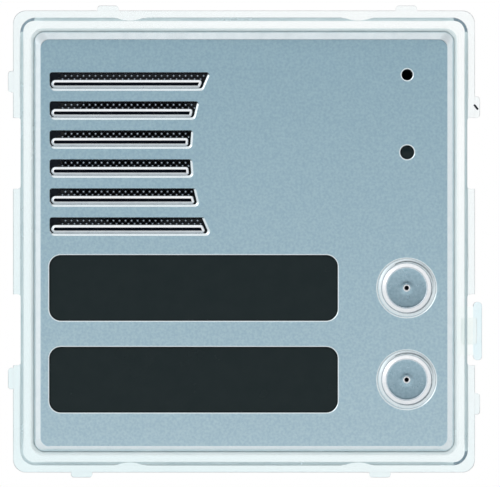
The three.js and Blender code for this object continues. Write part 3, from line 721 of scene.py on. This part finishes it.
def build_lip(index, top):
    """The curled lip of one louvre: an outward slope painted as a highlight round a deep groove
    painted as shadow, with faces that look down painted in shade.
    """
    high = top - LOUVRE_OPEN
    low = top - LOUVRE_DEEP + 0.02
    right_gap, left_gap = 0.42, 0.2
    outline = offset_polygon(louvre_outline(high, low), (0, -right_gap, 0, -left_gap))
    half = (high - low) / 2
    radii = [half * share for share in (0.98, 0.7, 0.6, 0.98)]
    front = FACE_Y + 0.08
    section = (
        (0.0, PLATE_BACK_Y + 0.1), (0.0, front + 0.38), (0.03, front + 0.31),
        (0.45, front + 0.03), (0.48, front + 0.01), (0.50, front + 0.03),
        (0.51, front + 0.10), (0.51, PLATE_BACK_Y - 0.12),
    )
    lip = loft([
        round_polygon(offset_polygon(outline, [-inset] * 4),
                      [max(radius - inset, 0.05) for radius in radii], y, 8)
        for inset, y in section])
    middle_z = (high + low) / 2

    def choose(polygon):
        # Groove walls and floor are painted as shadow, faces that look down as shade, the rest as
        # highlight.
        where, facing = polygon.center, polygon.normal
        if where.y > front + 0.09 and abs(facing.y) < 0.2:
            return GROOVE if (middle_z - where.z) * facing.z > 0 else HIGHLIGHT_METAL
        if facing.y < -0.9 and where.y > front + 0.5:
            return GROOVE
        return SHADE_METAL if facing.z < -0.3 else HIGHLIGHT_METAL

    piece(lip, f"louvre_lip_{index}", [HIGHLIGHT_METAL, GROOVE, SHADE_METAL],
          ["front_plate"], choose=choose)


def build_plate():
    rings = []
    for inset, drop in SHOULDER:
        half = PLATE_HALF - inset
        lower = -SHOULDER_DROP * min(inset, BEVEL_WIDTH)
        corner = max(PLATE_CORNER - 0.3 * inset, FLAT_CORNER)
        rings.append(rounded(half, half, corner, FACE_Y + drop, 0, lower))
    rings += [
        square_loop(PLATE_HALF, PLATE_CORNER, PLATE_RIM_Y),
        square_loop(POCKET_HALF, POCKET_CORNER, PLATE_RIM_Y),
        square_loop(POCKET_HALF, POCKET_CORNER, PLATE_BACK_Y),
    ]
    plate = loft(rings)
    cutters = [louvre_cutter(top) for top in LOUVRE_TOPS]
    for row in ROWS:
        cutters.append(window_cutter(row))
        cutters.append(round_cutter(f"{row}_call_button", DISH_RADIUS, 0.24, 96))
    cutters.append(round_cutter("microphone_boot", 1.1, 0.22, 48))
    cutters.append(round_cutter("sensor_lens", SENSOR_RADIUS + 0.1, 0.22, 48))
    cut(plate, *cutters)

    def choose(polygon):
        flat = polygon.normal.dot(FRONT) > 0.985
        return SATIN if flat or polygon.center.y > PLATE_BACK_Y - 0.01 else POLISHED

    piece(plate, "front_plate_sheet", [SATIN, POLISHED],
          ["front_plate"], choose=choose)
    for index, top in enumerate(LOUVRE_TOPS):
        build_lip(index + 1, top)


def build_collar(row):
    """The turned collar in the dish round a button: its slope is steepest at the lower left."""
    centre = middle(f"{row}_call_button")
    inner, outer = 4.92, 5.73
    crest = inner + 0.15
    collar = turned([
        (inner, PLATE_BACK_Y - 0.1), (inner, FACE_Y + 0.16), (inner + 0.04, FACE_Y + 0.09),
        (inner + 0.10, FACE_Y + 0.07), (5.3, FACE_Y + 0.13), (5.5, FACE_Y + 0.19),
        (outer - 0.02, FACE_Y + 0.27), (outer, PLATE_BACK_Y - 0.1),
    ], centre.x, centre.z, 96)
    steepest, widest = math.radians(205), math.radians(-45)
    most_open, drop, tilt = 0.14, 0.07, 0.12
    for vertex in collar.data.vertices:
        away = Vector((vertex.co.x - centre.x, vertex.co.z - centre.z))
        azimuth = math.atan2(away.y, away.x)
        if away.length < crest:
            open_by = most_open * max(math.cos(azimuth - widest), 0) ** 2
            vertex.co.x += away.x / away.length * open_by
            vertex.co.z += away.y / away.length * open_by
        if away.length > crest and vertex.co.y < PLATE_BACK_Y - 0.2:
            share = (away.length - inner - 0.1) / (outer - inner)
            vertex.co.y += share * (drop + tilt * math.cos(azimuth - steepest))
    piece(collar, f"{row}_button_collar", [POLISHED],
          ["front_plate"], weighted=False)


def build_speaker_mesh():
    """Perforated sheet: staggered rows of round holes behind each louvre, and on two of the rows
    small knuckles between the holes, painted light as a painted glint."""
    low, high = box_mm("speaker_mesh")
    pitch, row_pitch, radius, sides = 1.18, 0.65, 0.38, 10
    left, above = LOUVRE_LEFT + 1.75, 0.11
    outline = rounded((high.x - low.x) / 2, (high.z - low.z) / 2, 1.0, 0,
                      (low.x + high.x) / 2, (low.z + high.z) / 2, 4)
    points = [Vector((p.x, p.z)) for p in outline]
    loops = [list(range(len(points)))]
    for top in LOUVRE_TOPS:
        for row in range(5):
            z = top + above - row * row_pitch
            x = left + (0.5 * pitch if row % 2 else 0)
            while x < arc_end(z) + 0.2:
                first = len(points)
                for a in round_steps(sides):
                    points.append(Vector((x + radius * math.cos(a), z + radius * math.sin(a))))
                loops.append(list(range(first, first + sides)))
                x += pitch
    inside_with_holes = 2
    flat, _, solid, _, _, _ = delaunay_2d_cdt(points, [], loops, inside_with_holes, 1e-6)
    sheet = mesh_object([Vector((p.x, low.y, p.y)) for p in flat], solid)
    modify(sheet, "SOLIDIFY", thickness=high.y - low.y, offset=-1.0)
    depths = [v.co.y for v in sheet.data.vertices]
    shift = (low.y + high.y) / 2 - (min(depths) + max(depths)) / 2
    for vertex in sheet.data.vertices:
        vertex.co.y += shift + 0.04
    knuckles = []
    crown, shoulder, foot = low.y, low.y + 0.08, low.y + 0.12
    for top in LOUVRE_TOPS:
        for row in (1, 2):
            z = top + above - row * row_pitch
            x = left + (pitch if row % 2 else 0.5 * pitch)
            while x < arc_end(z) - 0.2:
                knuckles.append(turned([(0, crown), (0.13, crown + 0.02), (0.22, shoulder),
                                        (0.22, foot), (0, foot)], x, z, 8))
                x += pitch
    piece(sheet, "speaker_mesh_sheet", [MESH], ["speaker_mesh"],
          weighted=False)
    piece(gather(knuckles), "speaker_mesh_knuckles", [KNUCKLE_GLINT],
          ["speaker_mesh"], weighted=False)


def build_window(row):
    low, high = box_mm(f"{row}_name_window")
    x, z = (low.x + high.x) / 2, (low.z + high.z) / 2
    gap, fillet, flange_corner = 0.1, 0.25, 1.5
    half_w, half_h, corner = WINDOW_HALF_W - gap, WINDOW_HALF_H - gap, WINDOW_CORNER - gap
    flange_half_w, flange_half_h = (high.x - low.x) / 2, (high.z - low.z) / 2
    flange = PLATE_BACK_Y + 0.2
    section = [(half_w - inset, half_h - inset, corner - inset, low.y + deep)
               for deep, inset in quarter_round(fillet, 3)]
    section += [
        (half_w, half_h, corner, flange),
        (flange_half_w, flange_half_h, flange_corner, flange),
        (flange_half_w, flange_half_h, flange_corner, high.y),
    ]
    lens = loft([rounded(*step, x, z, CORNER_STEPS) for step in section])
    piece(lens, f"{row}_window_lens", [SMOKED],
          [f"{row}_name_window"])


# ---- buttons
def build_button(row):
    """A turned cap: a dished face round a raised dimple ring, a sloped edge, a flange behind the
    plate and a stem. The ring and the edge are painted as highlights, the dimple's hole as shadow."""
    node = f"{row}_call_button"
    low, high = box_mm(node)
    centre = middle(node)
    front = low.y
    face = front + 0.34
    dimple, ring, face_end, cap, flange, stem = 0.42, 0.77, 3.93, 4.9, 5.5, 2.0
    flange_front, flange_rear = PLATE_BACK_Y + 0.1, PLATE_BACK_Y + 0.7
    turning = turned([
        (0, front + 1.5), (dimple - 0.02, front + 1.5), (dimple, face), (0.50, face - 0.07),
        (0.60, face - 0.10), (0.72, face - 0.09), (0.88, face - 0.02), (0.94, face),
        (1.6, face - 0.004), (2.3, face - 0.018), (3.0, face - 0.040),
        (3.6, face - 0.066), (3.92, face - 0.085), (4.0, face - 0.13), (4.06, front + 0.01),
        (4.10, front), (4.15, front + 0.02), (4.83, front + 0.42), (4.88, front + 0.49),
        (cap, front + 0.6), (cap, flange_front), (flange, flange_front),
        (flange, flange_rear), (stem, flange_rear), (stem, high.y - 0.2),
        (stem - 0.2, high.y), (0, high.y),
    ], centre.x, centre.z, 96)

    def choose(polygon):
        where = polygon.center
        away = Vector((where.x - centre.x, where.z - centre.z)).length
        if away < dimple and where.y < high.y - 1:
            return GROOVE
        return BUTTON_FACE if ring < away < face_end and where.y < face + 0.1 else HIGHLIGHT_METAL

    piece(turning, f"{row}_button_cap", [BUTTON_FACE, HIGHLIGHT_METAL, GROOVE], [node],
          body=f"{row}_button", smooth=50, weighted=False, choose=choose)


def build_coil(name, node, start, end, radius, turns, wire):
    """A compression spring with closed ends."""
    along = (end - start).normalized()
    side = along.orthogonal().normalized()
    other = along.cross(side)
    length = (end - start).length
    steps_per_turn, closing = 28, 0.055
    steps = int(turns * steps_per_turn)
    points = []
    for k in range(steps + 1):
        t = k / steps
        a = 2 * math.pi * turns * t
        ease = t - closing * math.sin(4 * math.pi * t)
        points.append(start + along * (length * ease)
                      + side * (radius * math.cos(a)) + other * (radius * math.sin(a)))
    coil = tube(points, wire)
    piece(coil, name, [STEEL], [node], weighted=False, smooth=60)
    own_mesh(coil)


def build_springs():
    for row in ROWS:
        node = f"{row}_button_spring"
        low, high = box_mm(node)
        wire, travel, turns = 0.25, 0.8, 4.5
        x, z = (low.x + high.x) / 2, (low.z + high.z) / 2
        build_coil(f"{row}_button_coil", node, Vector((x, low.y + wire, z)),
                   Vector((x, high.y - wire, z)), (high.x - low.x) / 2 - wire, turns, wire)
    low, high = box_mm("catch_spring")
    wire, travel, turns = 0.15, 1.2, 3
    y, z = (low.y + high.y) / 2, (low.z + high.z) / 2
    build_coil("catch_coil", "catch_spring", Vector((high.x - wire, y, z)),
               Vector((low.x + wire, y, z)), (high.y - low.y) / 2 - wire, turns, wire)


# ---- catch, sensor, microphone
def build_catch():
    low, high = box_mm("side_catch")
    centre = middle("side_catch")
    head_inner, head_corner = 45.2, 0.75
    head = slab((high.x - head_inner) / 2, (high.z - low.z) / 2, head_corner, low.y, high.y,
                (high.x + head_inner) / 2, centre.z)
    neck_half, overlap = 4.75, 0.5
    fuse(head, block((low.x, low.y, centre.z - neck_half),
                     (head_inner + overlap, high.y, centre.z + neck_half)))
    pocket_x, pocket_half_w, pocket_half_h, pocket_corner, pocket_depth = 44.3, 1.6, 2.6, 0.4, 0.55
    cut(head, slab(pocket_half_w, pocket_half_h, pocket_corner, low.y - PAST,
                   low.y + pocket_depth, pocket_x, centre.z, 6))
    soften(head, 0.16, segments=3)

    def choose(polygon):
        if polygon.center.x < RIM_HALF + 0.3:
            return PURE
        if polygon.center.x < head_inner - 0.05:
            return NECK
        # Steep faces of the head are painted with the dark outline, a painted shade.
        return OUTLINE if abs(polygon.normal.y) < 0.93 else TAB

    piece(head, "side_catch_tab", [TAB, PURE, NECK, OUTLINE], ["side_catch"],
          body="catch", choose=choose)


def build_sensor():
    low, high = box_mm("sensor_lens")
    centre = middle("sensor_lens")
    radius, flange_radius, flange_thick, dome = SENSOR_RADIUS, 2.2, 0.6, 0.35
    profile = [(0, low.y)]
    for k in range(1, 7):
        a = math.radians(15 * k)
        profile.append((radius * math.sin(a), low.y + dome * (1 - math.cos(a))))
    front = PLATE_BACK_Y + 0.1
    rear = front + flange_thick
    profile += [
        (radius, front), (flange_radius, front), (flange_radius, rear), (radius, rear),
        (radius, high.y - 0.2), (radius - 0.2, high.y), (0, high.y),
    ]
    lens = turned(profile, centre.x, centre.z, 48)
    piece(lens, "sensor_dome", [SMOKED], ["sensor_lens"],
          weighted=False)


def build_microphone():
    """The capsule behind the small hole: a steel can with a felt pad over its port."""
    low, high = box_mm("microphone_capsule")
    centre = middle("microphone_capsule")
    radius = (high.x - low.x) / 2
    pad = 0.72 * radius
    recess = low.y + 0.12
    can = turned([
        (0, low.y), (pad, low.y), (pad + 0.02, recess), (radius - 0.35, recess),
        (radius - 0.2, low.y), (radius - 0.05, low.y + 0.1), (radius, low.y + 0.3),
        (radius, high.y), (0, high.y),
    ], centre.x, centre.z, 48)

    def choose(polygon):
        away = Vector((polygon.center.x - centre.x, polygon.center.z - centre.z)).length
        return FELT if away < pad and polygon.center.y < low.y + 0.05 else STEEL

    piece(can, "microphone_can", [STEEL, FELT], ["microphone_capsule"],
          weighted=False, choose=choose)


# ---- rear of the module
def build_housing():
    low, high = box_mm("rear_housing")
    half, back = high.x, high.y
    wall, back_wall, fillet, corner, inner_corner = 1.8, 2.0, 1.2, 3.0, 1.8
    rings = [square_loop(half, corner, low.y, CORNER_STEPS)]
    for inset, short in quarter_round(fillet, 5):
        rings.append(square_loop(half - inset, corner - inset, back - short, CORNER_STEPS))
    shell = loft(rings)
    cut(shell, loft([square_loop(half - wall, inner_corner, y, CORNER_STEPS)
                     for y in (low.y - PAST, back - back_wall)]))

    posts, cutters = [], []
    post, post_front, shank, head, head_seat, shallow = 3.0, 9.2, 1.3, 2.25, 15.0, 0.35
    for i in FOUR:
        centre = middle(f"housing_screw_{i}")
        posts.append(rod(post, post_front, back - 1, centre.x, centre.z, 40))
        cutters.append(turned([
            (0, 8.0), (shank, 8.0), (shank, head_seat), (head, head_seat),
            (head, back - shallow), (head + shallow + PAST, back + PAST), (0, back + PAST),
        ], centre.x, centre.z, 40))
    fuse(shell, *posts)

    link = middle("link_socket")
    for half_w, half_h, x, z in ((13, 8.5, -10, -24.5), (7.5, 5.5, link.x, link.z)):
        cutters.append(slab(half_w, half_h, 1.0, back - back_wall - PAST, back + PAST, x, z))
    hole, countersink = 2.6, 1.4
    for name in TRIMMERS:
        centre = middle(f"{name}_trimmer_rotor")
        cutters.append(turned([
            (0, back - 3.5), (hole, back - 3.5), (hole, back - 0.4),
            (hole + countersink, back + PAST), (0, back + PAST)], centre.x, centre.z, 40))
    panel_z = 17
    cutters.append(slab(31, 14, 1.5, back - shallow, back + PAST, 0, panel_z))
    for side in (-1, 1):
        for k in range(7):
            cutters.append(slab(0.35, 0.7, 0.3, 8.0, back - 4.0, side * half, (k - 3) * 3.2, 4))
    cut(shell, *cutters)
    fuse(shell, *[slab(0.5, 11.5, 0.45, back - 0.8, back - 0.08, (k - 4) * 5.0, panel_z, 4)
                  for k in range(9)])
    soften(shell, 0.15)
    piece(shell, "rear_housing_shell", [PALE], ["rear_housing"])


def build_screws():
    """Cross-head screws, each turned to its own angle."""
    thread, shank, head, head_high, sides = 0.55, 1.0, 2.0, 1.8, 40
    for i in FOUR:
        node = f"housing_screw_{i}"
        low, high = box_mm(node)
        centre = middle(node)
        back, seat = high.y, high.y - head_high
        screw = turned([
            (0, low.y), (thread, low.y), (shank, low.y + 0.6), (shank, seat), (head, seat),
            (head, back - 0.75), (1.85, back - 0.4), (1.4, back - 0.12), (0.8, back),
            (0, back)], centre.x, centre.z, sides)
        turn = math.radians(17 + 31 * i)
        blades = []
        for quarter in (0, math.pi / 2):
            blade = loft([rounded(0.3, 0.16, 0.05, back - 1.15, steps=3),
                          rounded(1.15, 0.22, 0.05, back + 0.1, steps=3)])
            blades.append(place_turned(blade, centre.x, centre.z, turn + quarter))
        cut(screw, *blades)
        piece(screw, f"housing_screw_head_{i}", [STEEL], [node])


def build_terminals():
    low, high = box_mm("terminal_block")
    back = high.y
    moulding = node_slab("terminal_block", 0.4)
    well, well_deep, entry_half = 1.95, 5, 1.7
    split_from, split_to, split_deep = 2.44, 2.64, 2.2
    cutters = []
    for i in FOUR:
        screw = middle(f"clamp_screw_{i}")
        cutters.append(turned([
            (0, back - well_deep), (well, back - well_deep), (well, back - 0.4),
            (well + 0.25, back + 0.2), (0, back + 0.2)], screw.x, screw.z, 32))
        cutters.append(block((screw.x - entry_half, low.y + 1.5, low.z - PAST),
                             (screw.x + entry_half, low.y + 5.5, low.z + 4.0)))
        if i < 4:
            cutters.append(block((screw.x + split_from, back - split_deep, low.z - PAST),
                                 (screw.x + split_to, back + PAST, high.z + PAST)))
    cut(moulding, *cutters)
    soften(moulding, 0.12)
    piece(moulding, "terminal_block_moulding", [TERMINAL_GREEN],
          ["terminal_block"])
    shank, head, slot_half_w, slot_half_l = 1.2, 1.8, 0.27, 2.2
    for i in FOUR:
        node = f"clamp_screw_{i}"
        low, high = box_mm(node)
        centre = middle(node)
        back = high.y
        clamp = turned([
            (0, low.y), (shank, low.y), (shank, back - 1.8), (head, back - 1.8),
            (head, back - 0.3), (head - 0.2, back), (0, back)], centre.x, centre.z, 40)
        slot = block((-slot_half_l, back - 0.75, -slot_half_w),
                     (slot_half_l, back + 0.5, slot_half_w))
        cut(clamp, place_turned(slot, centre.x, centre.z, math.radians(-20 + 37 * i)))
        piece(clamp, f"clamp_screw_head_{i}", [STEEL], [node])


def build_link_socket():
    high = box_mm("link_socket")[1]
    centre = middle("link_socket")
    back, deep = high.y, 7
    half_w, half_h, key_half = 5, 3, 1.8
    shell = node_slab("link_socket", 0.5)
    cavity = block((centre.x - half_w, back - deep, centre.z - half_h),
                   (centre.x + half_w, back + PAST, centre.z + half_h))
    key = block((centre.x - key_half, back - deep, centre.z + half_h - 1),
                (centre.x + key_half, back + PAST, high.z + PAST))
    cut(shell, cavity, key)
    soften(shell, 0.12)
    piece(shell, "link_socket_shell", [BLACK], ["link_socket"])
    pitch, pin_half, tip_half = 2.0, 0.32, 0.14
    pins = []
    for column in range(4):
        for row in range(2):
            x = centre.x + (column - 1.5) * pitch
            z = centre.z + (row - 0.5) * pitch
            pins.append(loft([
                rounded(half, half, 0.05, y, x, z, 1) for half, y in (
                    (pin_half, back - deep - 0.2), (pin_half, back - 2.4),
                    (tip_half, back - 1.8))]))
    piece(gather(pins), "link_socket_pins", [BRASS], ["link_socket"],
          weighted=False)


def build_trimmers():
    """Each dial has a cross slot and a mark at its edge, and turns in a square case."""
    radius, slot_long, slot_half, mark_half, sides = 2.35, 1.7, 0.35, 0.45, 48
    for name in TRIMMERS:
        low, high = box_mm(f"{name}_trimmer_rotor")
        centre = middle(f"{name}_trimmer_rotor")
        x, z, back = centre.x, centre.z, high.y
        rotor = turned([
            (0, low.y), (radius, low.y), (radius, back - 0.25), (radius - 0.2, back),
            (0, back)], x, z, sides)
        cut(rotor,
            block((x - slot_long, back - 0.6, z - slot_half),
                  (x + slot_long, back + PAST, z + slot_half)),
            block((x - slot_half, back - 0.6, z - slot_long),
                  (x + slot_half, back + PAST, z + slot_long)),
            block((x - mark_half, back - 0.4, z + 1.6), (x + mark_half, back + PAST, z + 2.8)))
        soften(rotor, 0.06)
        piece(rotor, f"{name}_trimmer_dial", [OPAL], [f"{name}_trimmer_rotor"],
              body=f"{name}_rotor")
        back = box_mm(f"{name}_trimmer_body")[1].y
        case = node_slab(f"{name}_trimmer_body", 0.5)
        well = 2.5
        cut(case, turned([
            (0, back - 1.5), (well, back - 1.5), (well, back - 0.2), (well + 0.2, back),
            (well + 0.2, back + PAST), (0, back + PAST)], x, z, sides))
        soften(case, 0.1)
        piece(case, f"{name}_trimmer_case", [TRIMMER_BLUE],
              [f"{name}_trimmer_body"])


def paint_nodes():
    """Procedural finishes for the CAD nodes that stay."""
    slots = {part["node"]: part["material_slot"] for part in frame["record"]["subparts"]}
    for name, node in frame["nodes"].items():
        node.data.materials.clear()
        node.data.materials.append(SLOT_FINISH[slots[name]])


# ---- stage
def build_world():
    """Soft studio light: bright beside and behind the plate, dimmer in front of it, and in
    front brighter from below than from above. The camera sees plain white."""
    world = bpy.data.worlds.new("studio")
    bpy.context.scene.world = world
    world.use_nodes = True
    tree = world.node_tree
    link = tree.links.new
    split = add_node(tree, "SeparateXYZ")
    link(add_node(tree, "TexCoord").outputs["Generated"], split.inputs[0])

    def span(axis, start, end, first, last, interpolation="SMOOTHSTEP"):
        """From the first value to the last between two places on an axis."""
        node = add_node(tree, "MapRange", From_Min=start, From_Max=end, To_Min=first,
                        To_Max=last)
        node.interpolation_type = interpolation
        link(split.outputs[axis], node.inputs["Value"])
        return node.outputs["Result"]

    front_half_height, front_core, front_edge, back_core = 0.22, -0.95, -0.76, 0.8
    around = blend(tree, "MULTIPLY", span("X", -1, 1, *SIDE_LIGHT),
                   span("Z", -1, 1, *HEIGHT_LIGHT), 1)
    ahead = blend(tree, "MIX", FRONT_LOW, FRONT_HIGH,
                  span("Z", -front_half_height, front_half_height, 0, 1, "LINEAR"))
    with_front = blend(tree, "MIX", around, ahead, span("Y", front_core, front_edge, 1, 0))
    total = blend(tree, "MIX", with_front, BACK_LIGHT, span("Y", 0, back_core, 0, 1))
    background = tree.nodes["Background"]
    link(total, background.inputs["Color"])
    white = add_node(tree, "Background", Color=WHITE)
    seen = add_node(tree, "MixShader")
    link(add_node(tree, "LightPath").outputs["Is Camera Ray"], seen.inputs["Fac"])
    link(background.outputs["Background"], seen.inputs[1])
    link(white.outputs["Background"], seen.inputs[2])
    link(seen.outputs["Shader"], tree.nodes["World Output"].inputs["Surface"])


def build_lamp():
    """A weak lamp from the upper left, aimed at the part."""
    data = bpy.data.lights.new("key", "AREA")
    data.shape = "RECTANGLE"
    data.size = data.size_y = 0.8
    data.energy = 1
    obj = linked(data, "key")
    obj.location = (-0.9, -0.5, 0.6)
    obj.rotation_euler = (-obj.location).to_track_quat("-Z", "Y").to_euler()
    obj.visible_camera = False


def build_camera():
    """A long lens in front of the part, level with its middle, so that the view is nearly flat."""
    camera = bpy.data.cameras.new("camera")
    camera.sensor_width = 36
    camera.lens = 300
    camera.clip_start = 0.05
    camera.clip_end = 20
    eye = linked(camera, "camera")
    eye.location = (0.00118, -0.823, -0.00039)
    eye.rotation_euler = (math.radians(90), 0, 0)
    bpy.context.scene.camera = eye
    bpy.context.scene.view_settings.view_transform = "Standard"


def build_floor():
    """A wide sheet of pale paper well below the part."""
    half, top, thick = 1500, -250, 4
    floor = block((-half, -half, top - thick), (half, half, top))
    floor.name = floor.data.name = "floor"
    floor.data.transform(TO_METRES)
    floor.data.materials.append(surface(
        "floor_paper", (0.815, 0.825, 0.825), (0.825, 0.835, 0.835), 0.8, 30.0, fine=2.0,
        bump=0.02))


build_world()
build_floor()
build_lamp()
build_camera()
paint_nodes()
build_surround()
build_lug_slit()
build_plate()
build_speaker_mesh()
build_springs()
build_catch()
build_sensor()
build_microphone()
build_housing()
build_screws()
build_terminals()
build_link_socket()
build_trimmers()
for row in ROWS:
    build_collar(row)
    build_window(row)
    build_button(row)
